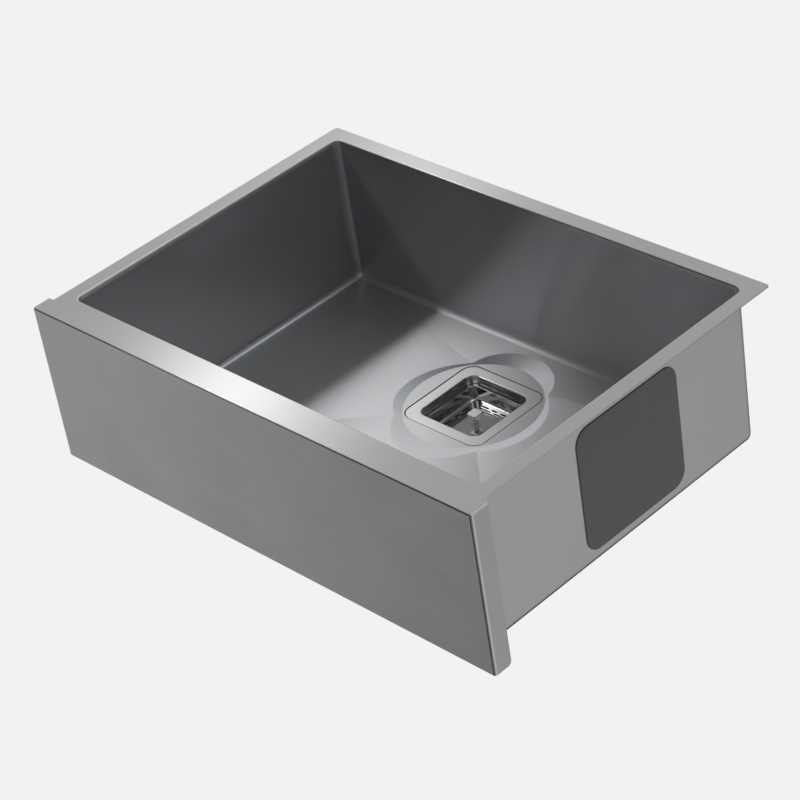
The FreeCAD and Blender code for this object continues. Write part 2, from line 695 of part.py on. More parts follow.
def make_turned(label, points):
    """A body of revolution on the drain's axis, from points of radius and depth."""
    body = drain_body(label)
    profile = new_sketch(body, "profile", plane="XZ_Plane")
    draw_polygon(profile, [(radius, f"-{depth}") for radius, depth in points])
    turn(body, "Revolution", profile)
    return body


def bore(body, name, radius, depth, length, upward=False):
    """A round hole on the drain's axis."""
    hole = new_sketch(body, name, level=f"-{depth}")
    draw_circle(hole, radius)
    return extrude(body, "Pocket", hole, length, flip=upward)


def make_strainer_body():
    """Square flange over a stepped square well, with a dipped hub and a ring of waterways."""
    body = drain_body("strainer_body")
    wall = "Sizes.well_sheet"
    flange = square_sketch(body, "flange", "Sizes.flange_width", "Sizes.flange_corner")
    extrude(body, "Pad", flange, "Sizes.flange_sheet", flip=True)
    neck = square_sketch(body, "neck", f"Sizes.mouth_width + 2 * {wall}", f"Sizes.mouth_corner + {wall}")
    extrude(body, "Pad", neck, f"Sizes.ledge_depth + {wall}", flip=True)
    shell = square_sketch(body, "shell", f"Sizes.well_width + 2 * {wall}", f"Sizes.well_corner + {wall}")
    extrude(body, "Pad", shell, f"Sizes.well_depth + {wall}", flip=True)
    mouth = square_sketch(body, "mouth", "Sizes.mouth_width", "Sizes.mouth_corner")
    extrude(body, "Pocket", mouth, "Sizes.ledge_depth")
    well = square_sketch(body, "well", "Sizes.well_width", "Sizes.well_corner")
    extrude(body, "Pocket", well, "Sizes.well_depth")
    inner_floor = -size("Sizes.well_depth")
    outer_floor = -size(f"Sizes.well_depth + {wall}")
    fillet(body, "innerbend", "Sizes.well_bend", lambda edge: at_level(edge, inner_floor))
    fillet(body, "outerbend", f"Sizes.well_bend + {wall}", lambda edge: at_level(edge, outer_floor))

    for name, kind, drop in (("hubunder", "Revolution", wall), ("hubtop", "Groove", "0")):
        hub = new_sketch(body, name, plane="XZ_Plane")
        draw_polygon(hub, [
            ("0", f"-Sizes.well_depth - {drop}"), ("Sizes.hub_radius", f"-Sizes.well_depth - {drop}"),
            ("Sizes.hub_floor_radius", f"-{HUB_FLOOR} - {drop}"), ("0", f"-{HUB_FLOOR} - {drop}"),
        ])
        turn(body, kind, hub)
    bore(body, "screwhole", "Sizes.screw_radius + Sizes.screw_clearance", HUB_FLOOR, f"2 * {wall}")

    waterway = new_sketch(body, "waterway", level="-Sizes.well_depth")
    draw_circle(waterway, "Sizes.waterway_radius", x="Sizes.waterway_circle")
    pocket = extrude(body, "Pocket", waterway, f"2 * {wall}")
    repeat_round(body, pocket, int(size("Sizes.waterway_count")), "waterways")
    mouth_reach = size("Sizes.mouth_width / 2")
    fillet(body, "flangeedge", "Sizes.flange_edge", lambda edge: at_level(edge, 0, outside=mouth_reach))
    fillet(body, "mouthedge", "Sizes.mouth_edge", lambda edge: at_level(edge, 0, inside=mouth_reach))
    return body


def make_outlet_cup():
    """Moulded cup under the floor: square rim, funnel, hub on cross ribs and the outlet spigot."""
    body = drain_body("outlet_cup")
    wall = "Sizes.cup_wall"
    rim_corner = "Sizes.cup_corner + (Sizes.cup_rim_width - Sizes.cup_width) / 2"
    rim = square_sketch(body, "rim", "Sizes.cup_rim_width", rim_corner, CUP_TOP)
    extrude(body, "Pad", rim, "Sizes.cup_rim", flip=True)
    shell = square_sketch(body, "shell", f"Sizes.cup_width + 2 * {wall}", f"Sizes.cup_corner + {wall}",
                          CUP_TOP)
    extrude(body, "Pad", shell, f"{CUP_HUB_TOP} - {CUP_TOP}", flip=True)
    under = -size(CUP_HUB_TOP)
    fillet(body, "cupedge", "Sizes.cup_edge", lambda edge: at_level(edge, under))
    spigot = new_sketch(body, "spigot", plane="XZ_Plane")
    draw_polygon(spigot, [
        ("0", "-Sizes.cup_floor"), (f"Sizes.funnel_radius + {wall}", "-Sizes.cup_floor"),
        (f"Sizes.funnel_radius + {wall}", f"-{CUP_HUB_TOP}"), ("Sizes.outlet_radius", f"-{FUNNEL_END}"),
        ("Sizes.outlet_radius", f"-{CUP_END}"), ("0", f"-{CUP_END}"),
    ])
    turn(body, "Revolution", spigot)

    inside = square_sketch(body, "inside", "Sizes.cup_width", "Sizes.cup_corner", CUP_TOP)
    extrude(body, "Pocket", inside, f"Sizes.cup_floor - {CUP_TOP}")
    funnel = new_sketch(body, "funnel", plane="XZ_Plane")
    draw_polygon(funnel, [
        ("0", "-Sizes.cup_floor"), ("Sizes.funnel_radius", "-Sizes.cup_floor"),
        ("Sizes.outlet_bore", f"-{FUNNEL_END}"), ("Sizes.outlet_bore", f"-{CUP_END}"),
        ("0", f"-{CUP_END}"),
    ])
    turn(body, "Groove", funnel)

    slope = f"((Sizes.funnel_radius + {wall} - Sizes.outlet_radius) / Sizes.funnel_height)"
    top_reach = f"(Sizes.funnel_radius + {wall} / 2)"
    low_reach = f"({top_reach} - Sizes.cup_rib_height * {slope})"
    low = f"({CUP_HUB_TOP} + Sizes.cup_rib_height)"
    for name, plane in (("ribacross", "XZ_Plane"), ("ribalong", "YZ_Plane")):
        rib = new_sketch(body, name, plane=plane, level="-Sizes.cup_rib / 2")
        draw_polygon(rib, [(f"-{top_reach}", f"-{CUP_HUB_TOP}"), (f"-{low_reach}", f"-{low}"),
                           (low_reach, f"-{low}"), (top_reach, f"-{CUP_HUB_TOP}")])
        extrude(body, "Pad", rib, "Sizes.cup_rib")
    hub = new_sketch(body, "hub", level=f"-{CUP_HUB_TOP}")
    draw_circle(hub, "Sizes.cup_hub_radius")
    extrude(body, "Pad", hub, "Sizes.cup_hub_height", flip=True)
    bore(body, "screwhole", "Sizes.screw_radius + Sizes.screw_clearance", CUP_HUB_TOP,
         "Sizes.cup_hub_height")
    bore(body, "insertbore", "Sizes.insert_radius + Sizes.fit_clearance",
         f"({CUP_HUB_TOP} + Sizes.cup_hub_height)", "Sizes.insert_length", upward=True)
    return body


def make_centre_screw():
    """Socket-head screw that draws the cup up against the floor."""
    head_top = f"({HUB_FLOOR} - Sizes.screw_head)"
    body = make_turned("centre_screw", [
        ("0", head_top), ("Sizes.screw_head_radius", head_top), ("Sizes.screw_head_radius", HUB_FLOOR),
        ("Sizes.screw_radius", HUB_FLOOR), ("Sizes.screw_radius", f"({HUB_FLOOR} + Sizes.screw_length)"),
        ("0", f"({HUB_FLOOR} + Sizes.screw_length)"),
    ])
    socket = new_sketch(body, "socket", level=f"-{head_top}")
    corner = "Sizes.screw_socket / 2"
    draw_polygon(socket, [(f"{corner} * cos({angle} deg)", f"{corner} * sin({angle} deg)")
                          for angle in range(0, 360, 60)])
    extrude(body, "Pocket", socket, "Sizes.screw_socket_depth")
    return body


def make_drain():
    """Everything of the strainer that stays in the sink."""
    gap = "Sizes.flange_gap"
    return [
        make_strainer_body(),
        make_square_ring("flange_gasket", "Sizes.flange_sheet", "Sizes.flange_gasket_thickness",
                         f"Sizes.flange_width - 2 * {gap}", f"Sizes.flange_corner - {gap}",
                         "Sizes.drain_hole", "Sizes.drain_hole_corner"),
        make_square_ring("cup_gasket", CUP_GASKET_TOP, "Sizes.cup_gasket_thickness",
                         "Sizes.drain_hole + 2 * Sizes.gasket_land",
                         "Sizes.drain_hole_corner + Sizes.gasket_land",
                         "Sizes.cup_width", "Sizes.cup_corner"),
        make_outlet_cup(),
        make_round_ring("threaded_insert", INSERT_TOP, "Sizes.insert_length",
                        "Sizes.insert_radius", "Sizes.screw_radius + Sizes.thread_clearance"),
        make_centre_screw(),
    ]


# ---- basket and stopper -------------------------------------------------------------------------

def make_strainer_basket():
    """Lift-out square basket with a flat rim, tapered walls, a slotted floor and a raised plate."""
    body = drain_body("strainer_basket")
    wall = "Sizes.basket_sheet"
    end_width = "Sizes.basket_width - 2 * Sizes.basket_taper"
    rim = square_sketch(body, "rim", "Sizes.basket_rim_width", "Sizes.basket_rim_corner", RIM_TOP)
    extrude(body, "Pad", rim, "Sizes.basket_rim", flip=True)
    for name, kind, end, inset in (("shell", "AdditiveLoft", BASKET_UNDER, "0"),
                                   ("hollow", "SubtractiveLoft", BASKET_FLOOR, wall)):
        corner = f"Sizes.basket_corner - {inset}"
        top = square_sketch(body, name, f"Sizes.basket_width - 2 * {inset}", corner, RIM_TOP)
        bottom = square_sketch(body, f"{name}end", f"{end_width} - 2 * {inset}", corner, end)
        loft(body, kind, top, bottom)
    floor_level = -size(BASKET_FLOOR)
    under_level = -size(BASKET_UNDER)
    rim_level = -size(RIM_TOP)
    fillet(body, "innerbend", "Sizes.basket_bend", lambda edge: at_level(edge, floor_level))
    fillet(body, "outerbend", f"Sizes.basket_bend + {wall}", lambda edge: at_level(edge, under_level))
    fillet(body, "rimedge", "Sizes.basket_edge", lambda edge: at_level(edge, rim_level))

    plate = square_sketch(body, "plate", "Sizes.plate_width", "Sizes.plate_corner", BASKET_FLOOR)
    extrude(body, "Pad", plate, "Sizes.plate_rise")
    bore(body, "bushhole", "Sizes.bush_radius", PLATE_TOP, f"2 * (Sizes.plate_rise + {wall})")

    slots = new_sketch(body, "slots", level=f"-{BASKET_FLOOR}")
    for side in (-1, 0, 1):
        length = "Sizes.slot_length" if side else "Sizes.short_slot_length"
        draw_rounded_box(slots, length, "Sizes.slot_width", f"Sizes.slot_width * {ROUND_END}",
                         x=f"{side} * Sizes.slot_pitch", y="-Sizes.slot_row")
    for side in (-1, 1):
        draw_rounded_box(slots, "Sizes.inner_slot_length", "Sizes.inner_slot_width",
                         f"Sizes.inner_slot_width * {ROUND_END}",
                         x=f"{side} * Sizes.inner_slot_pitch / 2", y="-Sizes.inner_slot_row")
    pocket = extrude(body, "Pocket", slots, f"2 * {wall}")
    repeat_round(body, pocket, BASKET_SIDES, "slotsround")
    return body


def make_guide_bush():
    """Flanged bush pressed through the basket's floor, in which the stem slides."""
    inner = "(Sizes.stem_radius + Sizes.fit_clearance)"
    outer = "(Sizes.bush_radius - Sizes.fit_clearance)"
    return make_turned("guide_bush", [
        (inner, BUSH_TOP), ("Sizes.bush_flange_radius", BUSH_TOP), ("Sizes.bush_flange_radius", PLATE_TOP),
        (outer, PLATE_TOP), (outer, BASKET_UNDER), ("Sizes.bush_flange_radius", BASKET_UNDER),
        ("Sizes.bush_flange_radius", BUSH_END), (inner, BUSH_END),
    ])


def make_pull_knob():
    """Square knob on a short round neck, bored for the stem."""
    body = drain_body("pull_knob")
    head = square_sketch(body, "head", "Sizes.knob_width", "Sizes.knob_corner", KNOB_TOP)
    extrude(body, "Pad", head, "Sizes.knob_height", flip=True)
    neck = new_sketch(body, "neck", level=f"-{KNOB_TOP} - Sizes.knob_height")
    draw_circle(neck, "Sizes.knob_neck_radius")
    extrude(body, "Pad", neck, "Sizes.knob_neck", flip=True)
    bore(body, "stembore", "Sizes.stem_end_radius + Sizes.fit_clearance", KNOB_BASE, "Sizes.knob_bore",
         upward=True)
    top = -size(KNOB_TOP)
    under = -size(f"{KNOB_TOP} + Sizes.knob_height")
    neck_reach = size("Sizes.knob_neck_radius")
    fillet(body, "headedge", "Sizes.knob_edge",
           lambda edge: at_level(edge, top) or at_level(edge, under, outside=neck_reach))
    return body


def make_stopper_stem():
    """Stem with a spigot for the knob, a collar and a thin end for the stopper."""
    spigot_top = f"({KNOB_BASE} - Sizes.knob_bore + Sizes.spigot_gap)"
    return make_turned("stopper_stem", [
        ("0", spigot_top), ("Sizes.stem_end_radius", spigot_top), ("Sizes.stem_end_radius", KNOB_BASE),
        ("Sizes.stem_radius", KNOB_BASE), ("Sizes.stem_radius", COLLAR_TOP),
        ("Sizes.collar_radius", COLLAR_TOP), ("Sizes.collar_radius", BACKING_TOP),
        ("Sizes.stem_end_radius", BACKING_TOP), ("Sizes.stem_end_radius", STEM_END), ("0", STEM_END),
    ])


def make_stopper_seal():
    """Rubber cup whose lip closes on the well's floor outside the waterways."""
    hole = "(Sizes.stem_end_radius + Sizes.fit_clearance)"
    lip = "(Sizes.seal_radius - Sizes.seal_lip)"
    body = make_turned("stopper_seal", [
        (hole, SEAL_TOP), ("Sizes.seal_radius", SEAL_TOP), ("Sizes.seal_radius", SEAL_END),
        (lip, SEAL_END), (lip, SEAL_WEB_END), (hole, SEAL_WEB_END),
    ])
    top = -size(SEAL_TOP)
    end = -size(SEAL_END)
    hub = size(hole)
    fillet(body, "lipedge", "Sizes.seal_edge",
           lambda edge: at_level(edge, top, outside=hub) or at_level(edge, end))
    return body


def make_basket():
    """Everything that lifts out: the basket, its bush and the sliding stopper."""
    thin_hole = "Sizes.stem_end_radius + Sizes.fit_clearance"
    return [
        make_strainer_basket(),
        make_guide_bush(),
        make_pull_knob(),
        make_stopper_stem(),
        make_round_ring("stopper_backing", BACKING_TOP, "Sizes.backing", "Sizes.backing_radius",
                        thin_hole),
        make_stopper_seal(),
        make_round_ring("stopper_retainer", SEAL_WEB_END, "Sizes.retainer", "Sizes.retainer_radius",
                        thin_hole),
    ]


# ---- output -------------------------------------------------------------------------------------

def check_and_write(sub_parts):
    """Stop on any failed feature or bad shape, then write one STEP file for each sub-part."""
    doc.recompute()
    for item in doc.Objects:
        if "Invalid" in item.State or "Error" in item.State:
            raise RuntimeError(f"{item.Label}: {item.State}")
    for sub_part in sub_parts:
        if sub_part.Shape.isNull() or not sub_part.Shape.isValid():
            raise RuntimeError(f"{sub_part.Label}: its shape is empty or not valid")
    os.makedirs("parts", exist_ok=True)
    for sub_part in sub_parts:
        shape = sub_part.Shape
        shape.exportStep(f"parts/{sub_part.Label}.step")
        box = shape.BoundBox
        print(f"{sub_part.Label}: {len(shape.Solids)} solid, {shape.Volume:.0f} mm3, "
              f"x {box.XMin:.1f} {box.XMax:.1f}, y {box.YMin:.1f} {box.YMax:.1f}, "
              f"z {box.ZMin:.1f} {box.ZMax:.1f}")


check_and_write([
    make_sink_bowl(),
    make_deck_apron(),
    make_apron_braces(),
    *make_wall_pads(),
    *make_floor_pads(),
    *make_drain(),
    *make_basket(),
])
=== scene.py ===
import math

import bmesh
import bpy
from mathutils import Matrix, Vector


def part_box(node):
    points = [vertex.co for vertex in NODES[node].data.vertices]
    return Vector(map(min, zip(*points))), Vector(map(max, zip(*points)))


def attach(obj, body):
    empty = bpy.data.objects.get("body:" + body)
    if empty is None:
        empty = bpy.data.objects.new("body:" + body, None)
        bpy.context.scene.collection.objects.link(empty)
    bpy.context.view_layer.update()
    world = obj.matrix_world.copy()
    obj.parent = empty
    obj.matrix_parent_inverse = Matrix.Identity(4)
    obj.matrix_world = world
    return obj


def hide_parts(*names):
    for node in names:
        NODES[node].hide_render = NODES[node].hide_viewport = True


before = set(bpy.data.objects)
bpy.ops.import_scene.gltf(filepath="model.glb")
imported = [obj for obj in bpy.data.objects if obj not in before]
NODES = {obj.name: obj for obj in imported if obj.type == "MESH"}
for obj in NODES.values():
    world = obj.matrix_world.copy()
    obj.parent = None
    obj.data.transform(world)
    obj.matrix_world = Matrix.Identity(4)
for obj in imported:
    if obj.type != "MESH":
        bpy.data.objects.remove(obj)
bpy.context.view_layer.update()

# A face lies on a side wall, or on a front or rear one, when its normal has this much X or Y.
SIDE_SHARE = 0.7
FRONT_SHARE = 0.9

# The brushed grain: width and length of its hairlines and of its broader lines.
HAIRLINE = (0.0004, 0.03)
BROAD_LINE = (0.005, 0.2)
POLISH = 0.13                         # roughness of brushed steel where it is polished
FLANGE_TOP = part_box("strainer_body")[1].z
FLANGE_SKIN = 0.0002                  # the strainer is satin this far down and polished below

# The rubber pads: node, and radius of the corners.
PADS = [
    ("sound_pad_right", 0.022),
    ("sound_pad_left", 0.022),
    ("sound_pad_rear", 0.022),
    ("sound_pad_front", 0.022),
    ("sound_pads_floor", 0.012),
    ("sound_pad_floor_front", 0.012),
]
PAD_RIM = 0.0014                      # radius of the rolled rim
PAD_SHOULDER = 0.002                  # width of the flat edge inside the rim
SAME_PLACE = 1e-6                     # corners closer than this are one
SAME_PLANE = 0.001                    # faces at a smaller angle than this, in radians, are one

# The camera: angles in radians, and the lens in millimetres on a sensor 36 mm wide.
CAMERA_PLACE = (2.09415, -1.54297, 1.72431)
CAMERA_TURN = 0.8687447
CAMERA_DIP = 0.5978140
CAMERA_ROLL = -0.1662698
CAMERA_LENS = 119.561
CAMERA_SENSOR = 36.0

PALE = (0.887, 0.887, 0.89, 1.0)      # floor and backdrop
FLOOR_LEVEL = -0.33
FLOOR_REACH = 20.0

# Soft glows of the studio: way to the middle, cosine at the edge, cosine at full glow, strength.
GLOWS = [
    ((0.866, 0.0, 0.5), 0.6, 1.0, 0.08),
    ((0.612, 0.612, 0.5), 0.6, 1.0, 0.46),
    ((-0.612, 0.612, 0.5), 0.6, 1.0, 0.72),
    ((0.866, 0.0, -0.5), 0.6, 1.0, 0.85),
    ((-0.866, 0.0, -0.5), 0.6, 1.0, 0.82),
    ((0.0, 0.3, 0.95), 0.88, 0.97, 1.2),
    ((0.1, -0.82, 0.56), 0.85, 1.0, 0.6),
]

# Soft boxes in an arc over the left side. The way from their aim to each of them has BOX_ACROSS
# along X and BOX_RISE upwards, and the rise leans to the rear by an angle.
BOX_AIM = (-0.06, 0.2, 0.0)
BOX_REACH = 2.3
BOX_ACROSS = -0.672
BOX_RISE = 0.74
# Name, lean in degrees (to the front below 0), width, length, watts.
BOXES = [
    ("front_box", -20, 0.12, 0.6, 0.5),
    ("mid_box", 0, 0.12, 0.6, 1.55),
    ("rear_box", 20, 0.12, 0.6, 0.8),
    ("broad_rear_box", 20, 0.45, 0.6, 1.15),
]


def show(name, data):
    """A new object in the scene."""
    made = bpy.data.objects.new(name, data)
    bpy.context.scene.collection.objects.link(made)
    return made


# ---- shader helpers -----------------------------------------------------------------------------

def feed(tree, socket, value):
    """Link a socket to another, or set it."""
    if isinstance(value, bpy.types.NodeSocket):
        tree.links.new(value, socket)
    else:
        socket.default_value = value


def feed_all(tree, node, inputs):
    """Link or set several inputs of a node."""
    for key, value in inputs.items():
        feed(tree, node.inputs[key], value)


def add(tree, kind, inputs=None, **settings):
    """A node with its settings, and with its inputs linked or set."""
    made = tree.nodes.new(kind)
    for key, value in settings.items():
        setattr(made, key, value)
    feed_all(tree, made, inputs or {})
    return made


def calc(tree, operation, *values):
    """One number from others."""
    return add(tree, "ShaderNodeMath", dict(enumerate(values)), operation=operation).outputs[0]


def total(tree, *values):
    """The sum of several numbers."""
    result = values[0]
    for value in values[1:]:
        result = calc(tree, "ADD", result, value)
    return result


def vector(tree, operation, *values):
    """One vector, or the number of a dot product, from vectors."""
    made = add(tree, "ShaderNodeVectorMath", dict(enumerate(values)), operation=operation)
    return made.outputs["Value" if operation == "DOT_PRODUCT" else "Vector"]


def scaled(tree, plain, amount):
    """A colour or vector multiplied by a number."""
    made = add(tree, "ShaderNodeVectorMath", {0: plain, "Scale": amount}, operation="SCALE")
    return made.outputs["Vector"]


def choose(tree, switch, off, on):
    """One of two vectors, by a switch of 0 or 1."""
    made = add(tree, "ShaderNodeMix", {"Factor": switch}, data_type="VECTOR")
    ends = [socket for socket in made.inputs if socket.type == "VECTOR" and socket.enabled]
    feed(tree, ends[0], off)
    feed(tree, ends[1], on)
    return [socket for socket in made.outputs if socket.enabled][0]


def spread(tree, value, low, high):
    """A number from 0 to 1 stretched to run from low to high."""
    return add(tree, "ShaderNodeMapRange", {"Value": value, "To Min": low, "To Max": high}).outputs[0]


def noise(tree, place, scale, detail=2.0, rough=0.5):
    """Cloudy noise from 0 to 1 over a place."""
    made = add(tree, "ShaderNodeTexNoise", {"Vector": place, "Scale": scale, "Detail": detail,
                                            "Roughness": rough})
    return made.outputs["Fac"]


def relief(tree, height, strength, depth):
    """The normal of a surface with a fine relief."""
    made = add(tree, "ShaderNodeBump", {"Strength": strength, "Distance": depth, "Height": height})
    return made.outputs[0]


def empty_tree(owner):
    """The node tree of a new material or world, with nothing in it."""
    owner.use_nodes = True
    owner.node_tree.nodes.clear()
    return owner.node_tree


def new_material(name):
    """A material, its tree, its main shader and the place on the object."""
    material = bpy.data.materials.new(name)
    tree = empty_tree(material)
    shader = add(tree, "ShaderNodeBsdfPrincipled")
    add(tree, "ShaderNodeOutputMaterial", {"Surface": shader.outputs[0]})
    place = add(tree, "ShaderNodeTexCoord").outputs["Object"]
    return material, tree, shader, place


# ---- materials ----------------------------------------------------------------------------------

def lie_of_grain(tree, normal, rises):
    """A switch that is on at the side walls, and the way across the grain.

    The grain of the flat sheet ran along X. On a side wall folded up from it the grain rises, and
    on one folded back it stays level.
    """
    parts = add(tree, "ShaderNodeSeparateXYZ", {0: normal}).outputs
    on_side = calc(tree, "GREATER_THAN", calc(tree, "ABSOLUTE", parts["X"]), SIDE_SHARE)
    on_front = calc(tree, "GREATER_THAN", calc(tree, "ABSOLUTE", parts["Y"]), FRONT_SHARE)
    upright = on_front if rises else calc(tree, "MAXIMUM", on_front, on_side)
    return on_side, choose(tree, upright, (0, 1, 0), (0, 0, 1))


def grain(tree, place, on_side, rises, size):
    """Noise with the width of a line across the grain and its length along it."""
    fine, long = (1 / length for length in size)
    side = (fine, fine, long) if rises else (fine, long, fine)
    scale = choose(tree, on_side, (long, fine, fine), side)
    return noise(tree, vector(tree, "MULTIPLY", place, scale), scale=1.0)


def brushed(name, colour, roughness, tip=0.06, streak=0.012, mottle=0.03, rises=True, level=-1.0):
    """Brushed steel, polished below a level.

    tip is how far the hairlines of the grain lean the surface to either side of them.
    """
    material, tree, shader, place = new_material(name)
    normal = add(tree, "ShaderNodeNewGeometry").outputs["Normal"]
    on_side, across = lie_of_grain(tree, normal, rises)
    hair = grain(tree, place, on_side, rises, HAIRLINE)
    lines = grain(tree, place, on_side, rises, BROAD_LINE)
    cloud = noise(tree, place, scale=7.0, detail=3.0)
    uneven = total(tree, spread(tree, hair, -streak, streak), spread(tree, lines, -streak, streak),
                   spread(tree, cloud, -mottle, mottle))
    height = add(tree, "ShaderNodeSeparateXYZ", {0: place}).outputs["Z"]
    satin = calc(tree, "GREATER_THAN", height, level)
    tipped = vector(tree, "ADD", normal, scaled(tree, across, spread(tree, hair, -tip, tip)))
    feed_all(tree, shader, {
        "Base Color": scaled(tree, colour, total(tree, 1.0, uneven)),
        "Roughness": total(tree, spread(tree, satin, POLISH, roughness), uneven),
        "Metallic": 1.0,
        "Anisotropic": 1.0,
        "Tangent": across,
        "Normal": vector(tree, "NORMALIZE", tipped),
    })
    return material


def polished(name, colour, roughness, mottle=0.03):
    """Polished metal with faint polishing marks."""
    material, tree, shader, place = new_material(name)
    marks = noise(tree, place, scale=900.0, detail=3.0)
    cloud = noise(tree, place, scale=60.0)
    feed_all(tree, shader, {
        "Base Color": scaled(tree, colour, spread(tree, cloud, 1 - mottle, 1 + mottle)),
        "Roughness": total(tree, spread(tree, marks, roughness - mottle, roughness + mottle),
                           spread(tree, cloud, -mottle, mottle)),
        "Metallic": 1.0,
        "Normal": relief(tree, marks, strength=0.25, depth=0.00001),
    })
    return material


def moulded(name, colour, roughness, scale=1800.0, mottle=0.08, dull=0.05):
    """Rubber or moulded plastic with a fine surface grain."""
    material, tree, shader, place = new_material(name)
    fine = noise(tree, place, scale, detail=4.0, rough=0.6)
    cloud = noise(tree, place, scale=25.0, detail=3.0)
    shade = total(tree, spread(tree, cloud, 1 - mottle, 1 + mottle),
                  spread(tree, fine, -mottle / 2, mottle / 2))
    feed_all(tree, shader, {
        "Base Color": scaled(tree, colour, shade),
        "Roughness": total(tree, roughness, spread(tree, cloud, -dull, dull)),
        "Normal": relief(tree, fine, strength=0.5, depth=0.00005),
    })
    return material


def make_looks():
    """The finishes, by name."""
    return {
        "bowl": brushed("bowl_steel", (0.608, 0.62, 0.636), 0.36),
        "deck": brushed("deck_steel", (0.622, 0.62, 0.616), 0.31, rises=False),
        "brace": brushed("brace_steel", (0.5, 0.5, 0.51), 0.4, mottle=0.05),
        "flange": brushed("flange_steel", (0.69, 0.69, 0.7), 0.3, level=FLANGE_TOP - FLANGE_SKIN),
        "knob": brushed("knob_steel", (0.66, 0.66, 0.67), 0.32),
        "basket": polished("basket_steel", (0.76, 0.76, 0.77), 0.09),
        "screw": polished("screw_steel", (0.55, 0.55, 0.56), 0.2),
        "pad": moulded("pad_rubber", (0.168, 0.168, 0.176), 0.75),
        "gasket": moulded("gasket_rubber", (0.02, 0.02, 0.02), 0.6),
        "cup": moulded("cup_plastic", (0.03, 0.03, 0.033), 0.45, scale=900.0),
        "bush": moulded("bush_plastic", (0.7, 0.7, 0.68), 0.4),
        "brass": polished("insert_brass", (0.72, 0.52, 0.22), 0.25),
    }


def finish_nodes(looks):
    """Give every carried-over piece its finish."""
    worn_by = {
        "bowl": ["sink_bowl"],
        "deck": ["deck_apron"],
        "brace": ["apron_braces"],
        "flange": ["strainer_body"],
        "knob": ["pull_knob"],
        "basket": ["strainer_basket", "stopper_backing"],
        "screw": ["centre_screw", "stopper_stem", "stopper_retainer"],
        "pad": [node for node, radius in PADS],
        "gasket": ["flange_gasket", "cup_gasket", "stopper_seal"],
        "cup": ["outlet_cup"],
        "bush": ["guide_bush"],
        "brass": ["threaded_insert"],
    }
    for look, names in worn_by.items():
        for name in names:
            materials = NODES[name].data.materials
            materials.clear()
            materials.append(looks[look])


# ---- sound pads ---------------------------------------------------------------------------------

def loose_parts(mesh):
    """The faces of each loose part of a mesh, always in the same order."""
    seen = set()
    for first in mesh.faces:
        if first in seen:
            continue
        seen.add(first)
        part = [first]
        # The list grows while it is walked, until no neighbour is left.
        for face in part:
            for other in [other for edge in face.edges for other in edge.link_faces]:
                if other not in seen:
                    seen.add(other)
                    part.append(other)
        yield part


def lie_of(part, inside):
    """How a flat part lies: its foot, its two ways along and its way out, and its three sizes."""
    widest = max(part, key=lambda face: face.calc_area())
    out = widest.normal.copy()
    if out.dot(widest.calc_center_median() - inside) < 0:
        out.negate()
    along = Vector((1, 0, 0)) if abs(out.x) < SIDE_SHARE else Vector((0, 1, 0))
    along = (along - along.dot(out) * out).normalized()
    ways = (along, out.cross(along), out)
    corners = [corner.co for face in part for corner in face.verts]
    low = [min(way.dot(corner) for corner in corners) for way in ways]
    high = [max(way.dot(corner) for corner in corners) for way in ways]
    foot = sum((way * (a + b) / 2 for way, a, b in zip(ways[:2], low, high)), out * low[2])
    return foot, ways, [b - a for a, b in zip(low, high)]


def lies_of(piece, inside):
    """How each flat part of a piece lies, with its way out leading away from a point inside."""
    source = bmesh.new()
    source.from_mesh(piece.data)
    bmesh.ops.remove_doubles(source, verts=source.verts, dist=SAME_PLACE)
    bmesh.ops.dissolve_limit(source, angle_limit=SAME_PLANE, verts=source.verts, edges=source.edges)
    lies = [lie_of(part, inside) for part in loose_parts(source)]
    source.free()
    return lies


def ring(mesh, foot, ways, half, radius, rise, steps=10):
    """A rounded rectangle of corners at one height over the foot."""
    corners = []
    for quarter, (right, up) in enumerate(((1, 1), (-1, 1), (-1, -1), (1, -1))):
        for step in range(steps + 1):
            angle = (quarter + step / steps) * math.pi / 2
            x = right * (half[0] - radius) + radius * math.cos(angle)
            y = up * (half[1] - radius) + radius * math.sin(angle)
            corners.append(mesh.verts.new(foot + x * ways[0] + y * ways[1] + rise * ways[2]))
    return corners


def add_pad(mesh, lie, radius, steps=6):
    """A rubber pad with cut sides and a softly rolled rim, in the place of a flat part."""
    foot, ways, (length, width, thickness) = lie
    turns = [math.pi / 2 * step / steps for step in range(steps + 1)]
    rolled = [(PAD_RIM * (1 - math.cos(turn)), thickness - PAD_RIM * (1 - math.sin(turn)))
              for turn in turns]
    profile = [(0.0, 0.0)] + rolled + [(PAD_RIM + PAD_SHOULDER, thickness)]
    rings = [ring(mesh, foot, ways, (length / 2 - inset, width / 2 - inset), radius - inset, rise)
             for inset, rise in profile]
    for lower, upper in zip(rings, rings[1:]):
        for number in range(len(lower)):
            after = (number + 1) % len(lower)
            mesh.faces.new((lower[number], lower[after], upper[after], upper[number])).smooth = True
    mesh.faces.new(rings[-1]).smooth = True
    mesh.faces.new(rings[0][::-1])


def make_pads(rubber):
    """The rubber pads on the walls and under the floor."""
    low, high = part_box("sink_bowl")
    inside = (low + high) / 2
    for node, radius in PADS:
        made = bmesh.new()
        for lie in lies_of(NODES[node], inside):
            add_pad(made, lie, radius)
        mesh = bpy.data.meshes.new(f"rolled_{node}")
        made.to_mesh(mesh)
        made.free()
        mesh.materials.append(rubber)
        pad = show(f"rolled_{node}", mesh)
        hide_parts(node)
        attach(pad, "sink")


# ---- studio -------------------------------------------------------------------------------------

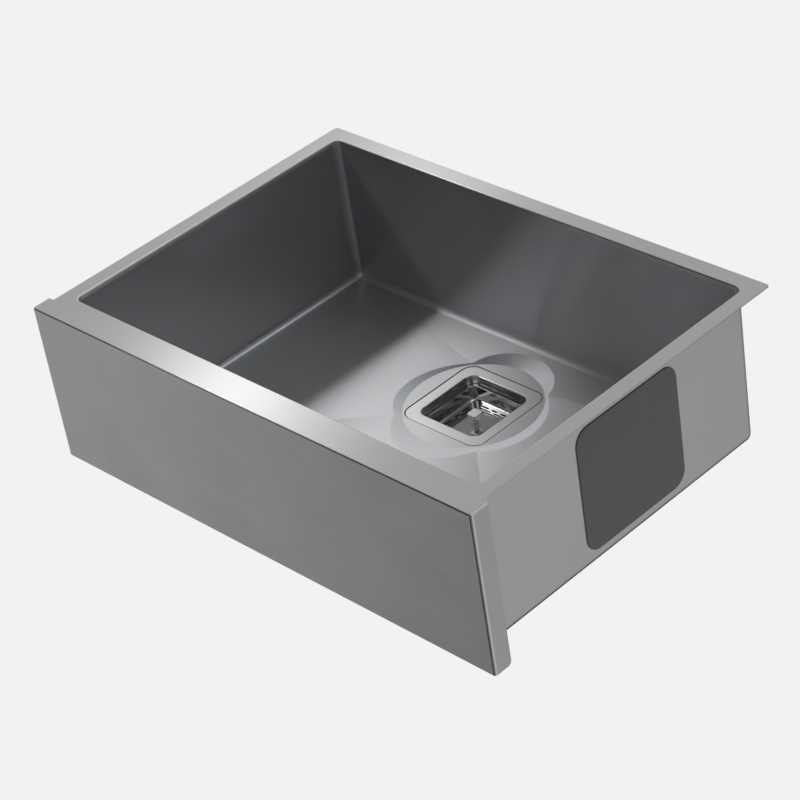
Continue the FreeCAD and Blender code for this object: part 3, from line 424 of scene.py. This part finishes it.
def make_camera():
    """The camera, over the front right corner and rolled a little."""
    data = bpy.data.cameras.new("camera")
    data.sensor_width = CAMERA_SENSOR
    data.lens = CAMERA_LENS
    data.clip_start = 0.05
    data.clip_end = 60.0
    turn = (Matrix.Rotation(CAMERA_TURN, 4, "Z") @ Matrix.Rotation(math.pi / 2 - CAMERA_DIP, 4, "X")
            @ Matrix.Rotation(CAMERA_ROLL, 4, "Z"))
    camera = show("camera", data)
    camera.matrix_world = Matrix.Translation(CAMERA_PLACE) @ turn
    bpy.context.scene.camera = camera


def make_floor():
    """A pale floor that shows from above only and casts nothing back on the metal."""
    mesh = bpy.data.meshes.new("floor")
    corners = [(x * FLOOR_REACH, y * FLOOR_REACH, FLOOR_LEVEL)
               for x, y in ((-1, -1), (1, -1), (1, 1), (-1, 1))]
    mesh.from_pydata(corners, [], [(0, 1, 2, 3)])
    material = bpy.data.materials.new("pale_floor")
    tree = empty_tree(material)
    glow = add(tree, "ShaderNodeEmission", {"Color": PALE, "Strength": 1.0})
    clear = add(tree, "ShaderNodeBsdfTransparent")
    under = add(tree, "ShaderNodeNewGeometry").outputs["Backfacing"]
    both = add(tree, "ShaderNodeMixShader", {0: under, 1: glow.outputs[0], 2: clear.outputs[0]})
    add(tree, "ShaderNodeOutputMaterial", {"Surface": both.outputs[0]})
    mesh.materials.append(material)
    floor = show("floor", mesh)
    floor.visible_glossy = False
    floor.visible_diffuse = False
    floor.visible_shadow = False
    floor.visible_transmission = False


def make_box(name, lean, width, length, power):
    """A soft box of the arc, at its lean and longest from front to rear."""
    data = bpy.data.lights.new(name, "AREA")
    data.shape = "RECTANGLE"
    data.size = length
    data.size_y = width
    data.energy = power
    angle = math.radians(lean)
    way = Vector((BOX_ACROSS, math.sin(angle) * BOX_RISE, math.cos(angle) * BOX_RISE)).normalized()
    run = Vector((1, 0, 0)).cross(way).normalized()
    turn = Matrix((run, way.cross(run), way)).transposed().to_4x4()
    light = show(name, data)
    light.matrix_world = Matrix.Translation(Vector(BOX_AIM) + BOX_REACH * way) @ turn
    light.visible_camera = False


def make_world():
    """The soft glows that light the sink, and the pale backdrop that the camera sees."""
    world = bpy.data.worlds.new("studio")
    tree = empty_tree(world)
    way = vector(tree, "NORMALIZE", add(tree, "ShaderNodeTexCoord").outputs["Generated"])
    levels = []
    for middle, edge, full, strength in GLOWS:
        cosine = vector(tree, "DOT_PRODUCT", way, tuple(Vector(middle).normalized()))
        glow = add(tree, "ShaderNodeMapRange", {"Value": cosine, "From Min": edge, "From Max": full,
                                                "To Max": strength}, interpolation_type="SMOOTHSTEP")
        levels.append(glow.outputs[0])
    around = add(tree, "ShaderNodeBackground", {"Color": (1, 1, 1, 1), "Strength": total(tree, *levels)})
    pale = add(tree, "ShaderNodeBackground", {"Color": PALE, "Strength": 1.0})
    seen = add(tree, "ShaderNodeLightPath").outputs["Is Camera Ray"]
    both = add(tree, "ShaderNodeMixShader", {0: seen, 1: around.outputs[0], 2: pale.outputs[0]})
    add(tree, "ShaderNodeOutputWorld", {"Surface": both.outputs[0]})
    bpy.context.scene.world = world


def make_studio():
    """Camera, floor, world and soft boxes."""
    make_camera()
    make_floor()
    make_world()
    for box in BOXES:
        make_box(*box)
    settings = bpy.context.scene.view_settings
    settings.view_transform = "Standard"
    settings.look = "None"


looks = make_looks()
finish_nodes(looks)
make_pads(looks["pad"])
make_studio()
